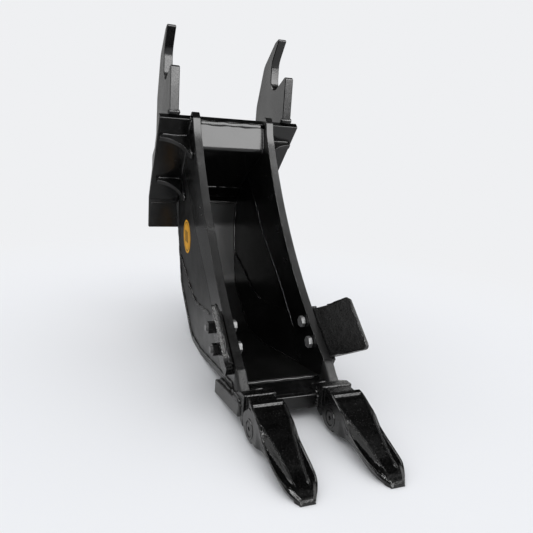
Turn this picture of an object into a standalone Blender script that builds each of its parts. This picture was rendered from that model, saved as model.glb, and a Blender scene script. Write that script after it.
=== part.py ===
"""Narrow excavator trenching bucket with quick-coupler hook ears.

Metres. X is the bucket's width, -Y is the mouth side, +Z is up. The origin is
under the middle of the object's box. The bucket stands on its heel, its lip
and its two tooth tips, with the hook ears at the top.
"""

import math

import bmesh
import bpy
import numpy as np
from mathutils import Vector

GAP = 0.0003

# The width, and how it narrows going back from the mouth.
MOUTH_HALF = 0.150
MOUTH_LOW = (-0.306, 0.102)
MOUTH_BACK = (0.749, -0.661)
TAPER = 0.0465
SIDE_BAR_T = 0.0275
SIDE_PLATE_T = 0.016
LOW_PLATE_T = 0.020

# The coupler base plate: sloping part, then a vertical rear flange.
PLATE_T = 0.023
PLATE_FRONT = (0.352, 0.826)
PLATE_CREASE = (0.620, 0.5046)
FLANGE_LOW = 0.383
PLATE_HALF = 0.262
FLANGE_HALF = 0.248

# The hook ears.
EAR_IN = 0.1958
EAR_OUT = 0.2282
EAR_FRONT = 0.331
EAR_TOE = 0.020

# The curved shell and the lip.
SHELL_T = 0.016
HEEL_T = 0.022
LIP_FRONT = -0.372
LIP_BACK = -0.148
LIP_T = 0.0425
LIP_HALF = 0.165
SHELL_FRONT = -0.270
RISE = 0.147

# The teeth.
TOOTH_X = 0.115
TIP_HALF = 0.04725
TIP_END = -0.7135
LOCK_AT = (-0.453, 0.045)
LOCK_R = 0.0205
LOCK_STEM_R = 0.0135

# The side cutters.
BOLTS = ((-0.1416, 0.2083), (-0.2012, 0.1623))
CUTTER_T = 0.025

DECAL_AT = (0.410, 0.378)
DECAL_R = 0.064
DECAL_T = 0.0008


def clear():
    for obj in list(bpy.data.objects):
        bpy.data.objects.remove(obj)


def material(name, colour, metallic, roughness):
    made = bpy.data.materials.new(name)
    made.use_nodes = True
    shader = made.node_tree.nodes["Principled BSDF"]
    shader.inputs["Base Color"].default_value = (*colour, 1)
    shader.inputs["Metallic"].default_value = metallic
    shader.inputs["Roughness"].default_value = roughness
    made.diffuse_color = (*colour, 1)
    return made


# Geometry helpers


def behind(y, z):
    """How far a point of the side view lies behind the mouth line."""
    return (y - MOUTH_LOW[0]) * MOUTH_BACK[0] + (z - MOUTH_LOW[1]) * MOUTH_BACK[1]


def half(y, z):
    """The bucket's outer half width at a point of the side view."""
    return MOUTH_HALF - TAPER * behind(y, z)


def rounded(corners, closed=True, step=math.radians(12)):
    """An outline whose corners are (a, b) or (a, b, radius)."""
    out = []
    n = len(corners)
    for i, corner in enumerate(corners):
        here = np.array(corner[:2], float)
        radius = corner[2] if len(corner) > 2 else 0
        if radius == 0 or (not closed and i in (0, n - 1)):
            out.append(tuple(here))
            continue
        to_last = np.array(corners[i - 1][:2]) - here
        to_next = np.array(corners[(i + 1) % n][:2]) - here
        to_last /= np.linalg.norm(to_last)
        to_next /= np.linalg.norm(to_next)
        inside = math.acos(max(-1, min(1, float(to_last @ to_next))))
        reach = radius / math.tan(inside / 2)
        middle = to_last + to_next
        middle /= np.linalg.norm(middle)
        centre = here + middle * radius / math.sin(inside / 2)
        start = here + to_last * reach - centre
        turn = math.pi - inside
        side = to_last[0] * to_next[1] - to_last[1] * to_next[0]
        sign = -1 if side > 0 else 1
        count = max(1, math.ceil(turn / step))
        for k in range(count + 1):
            angle = sign * turn * k / count
            cos, sin = math.cos(angle), math.sin(angle)
            out.append(
                (
                    centre[0] + start[0] * cos - start[1] * sin,
                    centre[1] + start[0] * sin + start[1] * cos,
                )
            )
    return out


def arc3(a, b, c, count):
    """Points of the arc from a to c through b."""
    (ax, ay), (bx, by), (cx, cy) = a, b, c
    d = 2 * (ax * (by - cy) + bx * (cy - ay) + cx * (ay - by))
    aa, bb, cc = ax * ax + ay * ay, bx * bx + by * by, cx * cx + cy * cy
    ux = (aa * (by - cy) + bb * (cy - ay) + cc * (ay - by)) / d
    uy = (aa * (cx - bx) + bb * (ax - cx) + cc * (bx - ax)) / d
    start = math.atan2(ay - uy, ax - ux)
    end = math.atan2(cy - uy, cx - ux)
    mid = math.atan2(by - uy, bx - ux)
    turn = (end - start) % math.tau
    if (mid - start) % math.tau > turn:
        turn -= math.tau
    radius = math.hypot(ax - ux, ay - uy)
    return [
        (
            ux + radius * math.cos(start + turn * k / count),
            uy + radius * math.sin(start + turn * k / count),
        )
        for k in range(count + 1)
    ]


def offset(path, by):
    """An open path moved to its left by a distance, with mitred corners."""
    points = np.array(path, float)
    along = np.diff(points, axis=0)
    along /= np.linalg.norm(along, axis=1)[:, None]
    left = np.stack([-along[:, 1], along[:, 0]], axis=1)
    out = []
    for i, point in enumerate(points):
        one = left[max(i - 1, 0)]
        two = left[min(i, len(left) - 1)]
        mitre = one + two
        mitre /= np.linalg.norm(mitre)
        out.append(tuple(point + mitre * by / float(mitre @ one)))
    return out


def cut_path(path, keep):
    """The stretch of an open path where keep(a, b) is true, ends kept whole."""
    return [point for point in path if keep(*point)]


def at_y(path, y):
    """The path's z where it crosses y."""
    for (a, b), (c, d) in zip(path, path[1:]):
        if min(a, c) <= y <= max(a, c) and a != c:
            return b + (d - b) * (y - a) / (c - a)
    raise ValueError("the path doesn't reach that y")


def finish_object(name, bm, mat, smooth=False):
    bmesh.ops.recalc_face_normals(bm, faces=bm.faces)
    if sum(f.calc_area() * f.normal.dot(f.calc_center_median()) for f in bm.faces) < 0:
        bmesh.ops.reverse_faces(bm, faces=bm.faces)
    mesh = bpy.data.meshes.new(name)
    bm.to_mesh(mesh)
    bm.free()
    mesh.materials.append(mat)
    obj = bpy.data.objects.new(name, mesh)
    bpy.context.collection.objects.link(obj)
    if smooth:
        for polygon in mesh.polygons:
            polygon.use_smooth = True
    return obj


def loft(name, rings, mat):
    """A closed body through rings of equal length, with flat ends."""
    bm = bmesh.new()
    loops = [[bm.verts.new(p) for p in ring] for ring in rings]
    for one, two in zip(loops, loops[1:]):
        for i in range(len(one)):
            j = (i + 1) % len(one)
            bm.faces.new((one[i], one[j], two[j], two[i]))
    bm.faces.new(loops[0])
    bm.faces.new(loops[-1])
    return finish_object(name, bm, mat)


def side_piece(name, outline, side, out_at, thick, mat):
    """A plate in the side view whose outer face is out_at(y, z) from the middle."""
    outer = [(side * out_at(y, z), y, z) for y, z in outline]
    inner = [(side * (out_at(y, z) - thick), y, z) for y, z in outline]
    return loft(name, [inner, outer], mat)


def across(name, outline, half_at, mat):
    """A piece that runs across the bucket, half_at(y, z) to each side."""
    right = [(half_at(y, z), y, z) for y, z in outline]
    left = [(-half_at(y, z), y, z) for y, z in outline]
    return loft(name, [left, right], mat)


def boolean(obj, other, operation):
    modifier = obj.modifiers.new(operation.title(), "BOOLEAN")
    modifier.operation = operation
    modifier.solver = "EXACT"
    modifier.object = other
    other.hide_render = True
    other.display_type = "WIRE"


def bevel(obj, width, segments=1, angle=40):
    modifier = obj.modifiers.new("Edges", "BEVEL")
    modifier.width = width
    modifier.segments = segments
    modifier.limit_method = "ANGLE"
    modifier.angle_limit = math.radians(angle)
    modifier.use_clamp_overlap = True


def cylinder(name, start, end, radius, mat, sides=32, radius_end=None, turn=0.0):
    start, end = Vector(start), Vector(end)
    axis = (end - start).normalized()
    one = axis.orthogonal().normalized()
    if abs(axis.x) > 0.9:
        one = Vector((0, 1, 0))
    two = axis.cross(one)
    rings = []
    for point, r in ((start, radius), (end, radius if radius_end is None else radius_end)):
        rings.append(
            [
                point
                + one * r * math.cos(turn + math.tau * k / sides)
                + two * r * math.sin(turn + math.tau * k / sides)
                for k in range(sides)
            ]
        )
    return loft(name, rings, mat)


def box(name, low, high, mat):
    x0, y0, z0 = low
    x1, y1, z1 = high
    rings = [
        [(x0, y0, z), (x1, y0, z), (x1, y1, z), (x0, y1, z)] for z in (z0, z1)
    ]
    return loft(name, rings, mat)


def turned(name, x_at, centre, profile, mat, sides=32, pointing=1):
    """A body of revolution about X. profile is (x along the axis, radius)."""
    rings = []
    for along, radius in profile:
        rings.append(
            [
                (
                    x_at + pointing * along,
                    centre[0] + radius * math.cos(math.tau * k / sides),
                    centre[1] + radius * math.sin(math.tau * k / sides),
                )
                for k in range(sides)
            ]
        )
    return loft(name, rings, mat)


# Shared lines of the side view


def line_z(y, by=0.0):
    """The base plate's top surface, moved by a distance square to it."""
    dy = PLATE_CREASE[0] - PLATE_FRONT[0]
    dz = PLATE_CREASE[1] - PLATE_FRONT[1]
    return PLATE_FRONT[1] + dz / dy * (y - PLATE_FRONT[0]) + by * math.hypot(dy, dz) / dy


PLATE_LONG = math.hypot(
    PLATE_CREASE[0] - PLATE_FRONT[0], PLATE_CREASE[1] - PLATE_FRONT[1]
)
DOWN = (
    (PLATE_CREASE[0] - PLATE_FRONT[0]) / PLATE_LONG,
    (PLATE_CREASE[1] - PLATE_FRONT[1]) / PLATE_LONG,
)
UP = (-DOWN[1], DOWN[0])


def on_plate(along, out):
    """A side-view point: along the plate from its front end, out from its top."""
    return (
        PLATE_FRONT[0] + DOWN[0] * along + UP[0] * out,
        PLATE_FRONT[1] + DOWN[1] * along + UP[1] * out,
    )


def under_z(y, gap=GAP):
    return line_z(y, -(PLATE_T + gap))


FLANGE_FRONT = PLATE_CREASE[0] - PLATE_T

# The shell's outer line in the side view, from the rear flange round to the lip.
SHELL_TOP = (FLANGE_FRONT - GAP, under_z(FLANGE_FRONT) - 0.001)
SHELL = rounded(
    [
        SHELL_TOP,
        (FLANGE_FRONT - GAP, 0.395, 0.12),
        (0.5285, 0.156, 0.12),
        (0.315, 0.0, 0.16),
        (0.146, 0.0, 0.25),
        (SHELL_FRONT, RISE * (0.146 - SHELL_FRONT)),
    ],
    closed=False,
    step=math.radians(7),
)
# The shell is two plates. The heel plate is thicker, with a step on the inside.
SPLIT = next(i for i, point in enumerate(SHELL) if point[1] < 0.155)
BACK_OUT = SHELL[: SPLIT + 1]
SHELL_IN = offset(SHELL, -SHELL_T)[: SPLIT + 1]


def heel_line(by):
    """The heel plate's outer line, or one inside it, clear of the upper plate."""
    line = offset(SHELL, -by)[SPLIT:]
    along = Vector(SHELL[SPLIT + 1]) - Vector(SHELL[SPLIT])
    return [tuple(Vector(line[0]) + along.normalized() * 2 * GAP)] + line[1:]


HEEL_OUT = heel_line(0)
HEEL_IN = heel_line(HEEL_T)


def lip_top(y, by=0.0):
    return RISE * (0.146 - y) - GAP * 1.02 + by


# The side bar's front edge and the line where the thinner side plate starts.
BAR_FRONT = arc3((0.296, 0.776), (0.040, 0.419), (-0.295, 0.135), 20)
STEP = [
    (0.476, 0.641),
    (0.355, 0.530),
    (0.249, 0.425),
    (0.067, 0.288),
    (-0.076, 0.166),
    (-0.165, 0.0),
]
# Where the upper side plate meets the heavier lower one.
SEAM_REAR = (0.434, 0.238)
SEAM_LOW = (0.262, 0.162, 0.30)
SEAM_FRONT = (0.020, 0.196)


def build_sides(mats):
    heel_in = offset(SHELL, -HEEL_T - GAP)[SPLIT:]
    shell_in = offset(SHELL, -SHELL_T - GAP)[: SPLIT + 1]
    foot_y = -0.1335
    foot = (foot_y, at_y(heel_in, foot_y))
    front_end = on_plate(-2 * GAP, 0.0)
    front_low = on_plate(-2 * GAP, -PLATE_T - 2 * GAP)
    bar = [
        (MOUTH_LOW[0], lip_top(MOUTH_LOW[0], 2 * GAP)),
        (SHELL_FRONT - 2 * GAP, lip_top(SHELL_FRONT, 2 * GAP)),
        (SHELL_FRONT - 2 * GAP, at_y(heel_in, SHELL_FRONT + 0.0045) + 0.0012),
        foot,
        STEP[4],
        STEP[3],
        STEP[2],
        STEP[1],
        (STEP[0][0], under_z(STEP[0][0])),
        front_low,
        front_end,
        (0.3465, 0.8320, 0.004),
        (0.3285, 0.8410, 0.012),
        (0.3085, 0.8180, 0.014),
        *[(y, z) for y, z in BAR_FRONT],
    ]
    bar = rounded(bar)

    # The seam runs from the shell to the side bar.
    seam = rounded(
        [(0.60, 0.300), (*SEAM_REAR, 0.10), SEAM_LOW, SEAM_FRONT, (-0.12, 0.212)],
        closed=False,
    )
    back_y = shell_at_seam(shell_in, seam)
    front = step_at_seam(seam)
    inner = [p for p in seam if front[0] < p[0] < back_y[0]]
    shift = 2 * GAP
    upper = [
        (STEP[0][0] + GAP, under_z(STEP[0][0] + GAP, 2 * GAP)),
        *[(y + GAP, z - GAP) for y, z in STEP[1:4]],
        (front[0] + GAP, front[1] + 0.0001),
        *reversed(inner),
        back_y,
        *reversed([p for p in shell_in if back_y[1] < p[1] < 0.48]),
        (shell_in[0][0], under_z(shell_in[0][0], 2 * GAP)),
    ]
    upper_front = [p for p in upper]
    lower = [
        (front[0] + GAP, front[1] - shift),
        *[(y, z - shift) for y, z in reversed(inner)],
        (back_y[0], back_y[1] - shift),
        *[p for p in shell_in if p[1] < back_y[1] - shift],
        *[p for p in heel_in if p[0] > foot_y + GAP],
        (foot_y + GAP, foot[1]),
        (STEP[4][0] + GAP, STEP[4][1]),
    ]
    for side, word in ((-1, "left"), (1, "right")):
        obj = side_piece(f"side_bar_{word}", bar, side, half, SIDE_BAR_T, mats["paint"])
        bevel(obj, 0.0015)
        side_piece(
            f"side_plate_{word}", upper_front, side, half, SIDE_PLATE_T, mats["paint"]
        )
        side_piece(
            f"lower_side_plate_{word}", lower, side, half, LOW_PLATE_T, mats["paint"]
        )


def crossing(one, two):
    """Where two open paths cross."""
    for a, b in zip(one, one[1:]):
        for c, d in zip(two, two[1:]):
            r = (b[0] - a[0], b[1] - a[1])
            s = (d[0] - c[0], d[1] - c[1])
            det = r[0] * s[1] - r[1] * s[0]
            if abs(det) < 1e-12:
                continue
            t = ((c[0] - a[0]) * s[1] - (c[1] - a[1]) * s[0]) / det
            u = ((c[0] - a[0]) * r[1] - (c[1] - a[1]) * r[0]) / det
            if 0 <= t <= 1 and 0 <= u <= 1:
                return (a[0] + r[0] * t, a[1] + r[1] * t)
    raise ValueError("the paths don't cross")


def shell_at_seam(shell_in, seam):
    return crossing(shell_in, seam)


def step_at_seam(seam):
    return crossing(STEP[2:5], seam)


def build_shell(mats):
    def wide(y, z):
        return half(y, z) + 0.002

    back = BACK_OUT + list(reversed(SHELL_IN))
    across("back_shell", back, wide, mats["paint"])
    heel = HEEL_OUT + list(reversed(HEEL_IN))
    across("bottom_shell", heel, wide, mats["paint"])
    low = lip_top(LIP_BACK) - LIP_T * 1.0107
    lip = [
        (LIP_FRONT, lip_top(LIP_FRONT)),
        (LIP_FRONT + 0.006, lip_top(LIP_FRONT + 0.006) - LIP_T * 1.0107),
        (LIP_BACK, low),
        (LIP_BACK, lip_top(LIP_BACK)),
    ]
    obj = across("lip_plate", lip, lambda y, z: LIP_HALF, mats["paint"])
    bevel(obj, 0.002)


def build_coupler(mats):
    plate_front_low = on_plate(0, -PLATE_T)
    crease_in = (FLANGE_FRONT, line_z(FLANGE_FRONT, -PLATE_T))
    outline = [
        PLATE_FRONT,
        plate_front_low,
        crease_in,
        (FLANGE_FRONT, FLANGE_LOW),
        (PLATE_CREASE[0], FLANGE_LOW),
        PLATE_CREASE,
    ]

    def wide(y, z):
        share = (y - PLATE_FRONT[0]) / (PLATE_CREASE[0] - PLATE_FRONT[0])
        return PLATE_HALF + (FLANGE_HALF - PLATE_HALF) * max(0, min(1, share))

    obj = across("base_plate", outline, wide, mats["paint"])
    bevel(obj, 0.0015)

    # The torque tube is a bent plate closed off by the base plate.
    path = rounded(
        [(0.3318, 0.7985), (0.3105, 0.7105, 0.024), (0.5275, 0.5585)],
        closed=False,
        step=math.radians(9),
    )
    path = path + list(reversed(offset(path, 0.012)))
    tube = across(
        "torque_tube",
        path,
        lambda y, z: half(y, z) - SIDE_BAR_T - GAP,
        mats["paint"],
    )
    bevel(tube, 0.0008)

    # Gussets stand square to the base plate, against the side plates.
    for place, along, leg, reach, thick in (
        ("upper", 0.074, 0.094, 0.252, 0.018),
        ("lower", 0.288, 0.098, 0.236, 0.018),
    ):
        for side, word in ((-1, "left"), (1, "right")):
            rings = []
            for step in (0.0, thick):
                top = on_plate(along + step, -PLATE_T - 2 * GAP)
                low = on_plate(along + step, -PLATE_T - 2 * GAP - leg)

                def at(x, depth, top=top, low=low):
                    t = depth / leg
                    return (
                        side * x,
                        top[0] + (low[0] - top[0]) * t,
                        top[1] + (low[1] - top[1]) * t,
                    )

                x_top = half(*top) + 2 * GAP
                x_low = half(*low) + 2 * GAP
                curve = arc3(
                    (reach, 0.016),
                    ((reach + x_low) / 2 - 0.014, leg / 2 - 0.004),
                    (x_low + 0.012, leg),
                    8,
                )
                ring = [at(x_top, 0), at(reach, 0)]
                ring += [at(x, depth) for x, depth in curve]
                ring += [at(x_low, leg)]
                rings.append(ring)
            obj = loft(f"gusset_{place}_{word}", rings, mats["paint"])
            bevel(obj, 0.001)


def ear_outline():
    foot = on_plate(-2 * GAP, 2 * GAP)
    heel = on_plate(PLATE_LONG, GAP)
    return rounded(
        [
            (EAR_FRONT, 0.8360, 0.003),
            (EAR_FRONT, 0.9935, 0.009),
            (0.4160, 0.9485, 0.030),
            (0.4710, 0.9440, 0.042),
            (0.4730, 1.050, 0.060),
            (0.4080, 1.1365, 0.006),
            (0.4510, 1.1215, 0.020),
            (0.5500, 1.0420, 0.060),
            (0.6110, 0.8900, 0.060),
            (0.6220, 0.7220, 0.030),
            (0.7130, 0.6650, 0.022),
            (0.7135, 0.6150, 0.020),
            (0.6480, 0.5150, 0.012),
            (heel[0] + 0.0007, heel[1] + 0.0005),
            foot,
        ],
        step=math.radians(15),
    )


def build_ears(mats):
    outline = ear_outline()
    for side, word in ((-1, "left"), (1, "right")):
        rings = [
            [(side * (x - EAR_TOE * (y - EAR_FRONT)), y, z) for y, z in outline]
            for x in (EAR_IN, EAR_OUT)
        ]
        obj = loft(f"hook_ear_{word}", rings, mats["ear"])
        bevel(obj, 0.0025)

    # The wedge bar joins the ears behind the crease.
    bar = rounded(
        [
            (0.640, 0.560, 0.006),
            (0.640, 0.672, 0.006),
            (0.690, 0.652, 0.010),
            (0.694, 0.622, 0.010),
        ]
    )
    obj = across(
        "wedge_bar",
        bar,
        lambda y, z: EAR_IN - EAR_TOE * (y - EAR_FRONT) - GAP,
        mats["paint"],
    )
    bevel(obj, 0.0015)


def nose_rings(x, grow):
    """The adapter's nose, which the tip's socket follows with a clearance."""
    rings = []
    for y, wide, low, high in (
        (-0.3920, 0.0320, 0.0265, 0.1020),
        (-0.4700, 0.0300, 0.0245, 0.0805),
        (-0.5950 - grow, 0.0190, 0.0215, 0.0425),
    ):
        wide, low, high = wide + grow, low - grow, high + grow
        rings.append(
            [
                (x - wide, y, low),
                (x + wide, y, low),
                (x + wide, y, high),
                (x - wide, y, high),
            ]
        )
    return rings


def build_teeth(mats):
    for side, word in ((-1, "left"), (1, "right")):
        x = side * TOOTH_X
        # The adapter straddles the lip's front edge.
        wide = 0.0455
        body = [
            (-0.3960, 0.0205),
            (LIP_FRONT - 0.002, 0.0300),
            (LIP_FRONT - 0.002, lip_top(LIP_FRONT, 2 * GAP)),
            (-0.3180, lip_top(-0.318, 2 * GAP)),
            (-0.3180, 0.0760),
            (-0.3450, 0.0960),
            (-0.3700, 0.1065),
            (-0.3960, 0.1075),
        ]
        rings = [[(x + dx, y, z) for y, z in body] for dx in (-wide, wide)]
        adapter = loft(f"adapter_{word}", rings, mats["cast"])
        neck = box(
            f"neck_{word}",
            (x - 0.0365, -0.4385, 0.0200),
            (x + 0.0365, -0.3900, 0.1050),
            mats["cast"],
        )
        boolean(adapter, neck, "UNION")
        nose = loft(f"nose_{word}", nose_rings(x, 0.0), mats["cast"])
        boolean(adapter, nose, "UNION")
        pocket = cylinder(
            f"lock_pocket_{word}",
            (x - 0.060, *LOCK_AT),
            (x - 0.014, *LOCK_AT),
            LOCK_STEM_R + 0.0008,
            mats["cast"],
            24,
        )
        boolean(adapter, pocket, "DIFFERENCE")
        bevel(adapter, 0.0012)

        # The tip is a hollow wedge with two ears that reach back over the nose.
        stations = (
            (-0.4400, 0.0440, 0.0210, 0.1125),
            (-0.4560, TIP_HALF, 0.0130, 0.1085),
            (-0.5150, TIP_HALF, 0.0230, 0.0865),
            (-0.5670, TIP_HALF - 0.001, 0.0250, 0.0670),
            (-0.6300, 0.0415, 0.0120, 0.0420),
            (-0.6700, 0.0340, 0.0045, 0.0265),
            (-0.7020, 0.0200, 0.0, 0.0145),
            (TIP_END, 0.0155, 0.0, 0.0100),
        )
        rings = []
        for y, w, low, high in stations:
            c = min(0.006, (high - low) * 0.25, w * 0.3)
            rings.append(
                [
                    (x - w, y, low + c),
                    (x - w + c, y, low),
                    (x + w - c, y, low),
                    (x + w, y, low + c),
                    (x + w, y, high - c),
                    (x + w - c, y, high),
                    (x - w + c, y, high),
                    (x - w, y, high - c),
                ]
            )
        tip = loft(f"tip_{word}", rings, mats["cast"])
        lobe = rounded(
            [
                (-0.4700, 0.0130),
                (-0.4180, 0.0125, 0.018),
                (-0.4000, 0.0560, 0.024),
                (-0.4300, 0.0860, 0.012),
                (-0.4700, 0.0900),
            ]
        )
        ears = [
            loft(
                f"tip_ears_{word}_{k}",
                [[(x + dx, y, z) for y, z in lobe] for dx in pair],
                mats["cast"],
            )
            for k, pair in enumerate(((-TIP_HALF, -0.0375), (0.0375, TIP_HALF)))
        ]
        for ear in ears:
            boolean(tip, ear, "UNION")
        socket = loft(f"socket_{word}", nose_rings(x, 0.0008), mats["cast"])
        boolean(tip, socket, "DIFFERENCE")
        hole = cylinder(
            f"lock_hole_{word}",
            (x - 0.060, *LOCK_AT),
            (x - 0.0375, *LOCK_AT),
            LOCK_R + 0.0005,
            mats["cast"],
            36,
        )
        boolean(tip, hole, "DIFFERENCE")
        stem = cylinder(
            f"lock_stem_hole_{word}",
            (x - 0.060, *LOCK_AT),
            (x - 0.020, *LOCK_AT),
            LOCK_STEM_R + 0.0008,
            mats["cast"],
            24,
        )
        boolean(tip, stem, "DIFFERENCE")

        # The lock turns in the tip's outer hole. Its head has a square socket.
        lock = turned(
            f"tip_lock_{word}",
            x - TIP_HALF,
            LOCK_AT,
            (
                (-0.0010, LOCK_R - 0.0025),
                (0.0005, LOCK_R - 0.0004),
                (0.0092, LOCK_R - 0.0004),
                (0.0092, LOCK_STEM_R - 0.0006),
                (0.0270, LOCK_STEM_R - 0.0006),
                (0.0290, LOCK_STEM_R - 0.0030),
            ),
            mats["steel"],
            36,
        )
        key = cylinder(
            f"lock_key_{word}",
            (x - TIP_HALF - 0.01, *LOCK_AT),
            (x - TIP_HALF + 0.0075, *LOCK_AT),
            0.0075,
            mats["steel"],
            4,
        )
        boolean(lock, key, "DIFFERENCE")


def build_cutters(mats):
    """A mounting flange on the side bar, and a blade that leans outwards."""
    along = Vector((0, -0.1445, -0.1115)).normalized()
    for side, word in ((-1, "left"), (1, "right")):

        def skin(y, z):
            return side * (half(y, z) + 2 * GAP)

        flange = rounded(
            [
                (-0.1210, 0.2500),
                (-0.2740, 0.1300),
                (-0.2620, 0.1040, 0.012),
                (-0.2150, 0.1080, 0.030),
                (-0.0960, 0.1960, 0.025),
                (-0.0980, 0.2350, 0.015),
            ],
            step=math.radians(22),
        )
        inner = [(skin(y, z), y, z) for y, z in flange]
        outer = [(skin(y, z) + side * 0.022, y, z) for y, z in flange]
        obj = loft(f"side_cutter_{word}", [inner, outer], mats["cast"])

        # The blade's outline runs along the front edge (s) and out from it (t).
        root = Vector((0, -0.1330, 0.2490))
        reach = Vector((0.054, -0.1130, 0.0700))
        deep = reach.length
        reach = reach.normalized()
        blade = rounded(
            [
                (0.004, -0.03 * deep),
                (0.176, -0.03 * deep),
                (0.179, 0.50 * deep, 0.05),
                (0.181, 0.99 * deep, 0.017),
                (0.003, 1.02 * deep, 0.010),
                (0.009, 0.50 * deep, 0.05),
            ],
            step=math.radians(22),
        )
        normal = reach.cross(along).normalized()
        if normal.x < 0:
            normal = -normal
        rings = []
        for share in (0.0, 1.0):
            ring = []
            for s, t in blade:
                thin = CUTTER_T * (1 - 0.45 * max(0, t) / deep)
                point = root + along * s + reach * t + normal * thin * share
                base = max(point.x + MOUTH_HALF, half(point.y, point.z) + 2 * GAP)
                ring.append((side * base, point.y, point.z))
            rings.append(ring)
        body = loft(f"blade_{word}", rings, mats["cast"])
        boolean(obj, body, "UNION")
        for k, (y, z) in enumerate(BOLTS):
            hole = cylinder(
                f"cutter_hole_{word}_{k}",
                (side * 0.13, y, z),
                (side * 0.20, y, z),
                0.0115,
                mats["cast"],
                24,
            )
            boolean(obj, hole, "DIFFERENCE")
            seat = cylinder(
                f"cutter_seat_{word}_{k}",
                (side * (half(y, z) + 0.0225), y, z),
                (side * 0.24, y, z),
                0.0225,
                mats["cast"],
                24,
            )
            boolean(obj, seat, "DIFFERENCE")
            in_bar = cylinder(
                f"bar_hole_{word}_{k}",
                (side * 0.10, y, z),
                (side * 0.17, y, z),
                0.0115,
                mats["paint"],
                24,
            )
            boolean(bpy.data.objects[f"side_bar_{word}"], in_bar, "DIFFERENCE")
            face = half(y, z)
            inside = face - SIDE_BAR_T
            outside = face + 0.022 + 2 * GAP
            name = f"{word}_{k + 1}"
            # The bolt's hex head sits inside the bucket and its shank runs out.
            bolt = cylinder(
                f"cutter_bolt_{name}",
                (side * (inside - 0.0135), y, z),
                (side * (inside - 0.0012), y, z),
                0.0185,
                mats["steel"],
                6,
            )
            shank = cylinder(
                f"shank_{name}",
                (side * (inside - 0.004), y, z),
                (side * (outside + 0.031), y, z),
                0.0100,
                mats["steel"],
                24,
            )
            boolean(bolt, shank, "UNION")
            washer = ring_of(
                f"cutter_washer_{name}",
                side,
                (y, z),
                outside + 0.0010,
                outside + 0.0055,
                0.0195,
                0.0112,
                mats["steel"],
                32,
            )
            nut = ring_of(
                f"cutter_nut_{name}",
                side,
                (y, z),
                outside + 0.0060,
                outside + 0.0240,
                0.0185,
                0.0105,
                mats["steel"],
                6,
            )


def ring_of(name, side, centre, x0, x1, radius, hole_r, mat, sides):
    y, z = centre
    obj = cylinder(name, (side * x0, y, z), (side * x1, y, z), radius, mat, sides)
    bore = cylinder(
        f"{name}_bore",
        (side * (x0 - 0.01), y, z),
        (side * (x1 + 0.01), y, z),
        hole_r,
        mat,
        24,
    )
    boolean(obj, bore, "DIFFERENCE")
    return obj


def build_decals(mats):
    for side, word in ((-1, "left"), (1, "right")):
        rings = []
        for out in (GAP, GAP + DECAL_T):
            ring = []
            for k in range(40):
                y = DECAL_AT[0] + DECAL_R * math.cos(math.tau * k / 40)
                z = DECAL_AT[1] + DECAL_R * math.sin(math.tau * k / 40)
                ring.append((side * (half(y, z) + out), y, z))
            rings.append(ring)
        loft(f"round_decal_{word}", rings, mats["decal"])


def main():
    clear()
    mats = {
        "paint": material("black_paint", (0.012, 0.012, 0.013), 0.0, 0.35),
        "ear": material("ear_paint", (0.015, 0.015, 0.016), 0.0, 0.30),
        "cast": material("cast_paint", (0.010, 0.010, 0.011), 0.0, 0.45),
        "steel": material("dark_fastener", (0.020, 0.020, 0.021), 0.3, 0.40),
        "decal": material("orange_decal", (0.78, 0.38, 0.03), 0.0, 0.40),
    }
    build_sides(mats)
    build_shell(mats)
    build_coupler(mats)
    build_ears(mats)
    build_teeth(mats)
    build_cutters(mats)
    build_decals(mats)


main()
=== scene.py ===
import math
import random

import bmesh
import bpy
from mathutils import Matrix, Vector


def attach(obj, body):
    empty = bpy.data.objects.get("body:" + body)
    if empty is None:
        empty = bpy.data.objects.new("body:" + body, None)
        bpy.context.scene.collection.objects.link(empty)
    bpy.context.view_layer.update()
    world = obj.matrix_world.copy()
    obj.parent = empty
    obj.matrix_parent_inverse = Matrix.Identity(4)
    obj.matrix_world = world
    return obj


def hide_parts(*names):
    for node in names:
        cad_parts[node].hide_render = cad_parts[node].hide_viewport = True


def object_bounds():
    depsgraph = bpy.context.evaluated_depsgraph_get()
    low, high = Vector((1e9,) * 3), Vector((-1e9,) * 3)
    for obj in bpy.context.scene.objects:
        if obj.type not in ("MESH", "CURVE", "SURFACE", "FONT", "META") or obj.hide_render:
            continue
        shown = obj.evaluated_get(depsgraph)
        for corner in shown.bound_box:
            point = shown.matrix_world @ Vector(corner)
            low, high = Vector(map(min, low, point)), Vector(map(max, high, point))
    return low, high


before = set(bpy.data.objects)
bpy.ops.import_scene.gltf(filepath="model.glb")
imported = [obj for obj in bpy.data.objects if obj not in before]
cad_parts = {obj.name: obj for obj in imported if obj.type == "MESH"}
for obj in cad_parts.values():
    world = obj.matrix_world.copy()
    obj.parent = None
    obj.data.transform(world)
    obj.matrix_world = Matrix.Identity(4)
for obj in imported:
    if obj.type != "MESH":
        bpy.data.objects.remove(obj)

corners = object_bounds()
cad_box = [list(corners[0]), list(corners[1])]

BODY = "bucket"
scene = bpy.context.scene
scene.view_settings.view_transform = "Standard"
scene.view_settings.look = "None"

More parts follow.
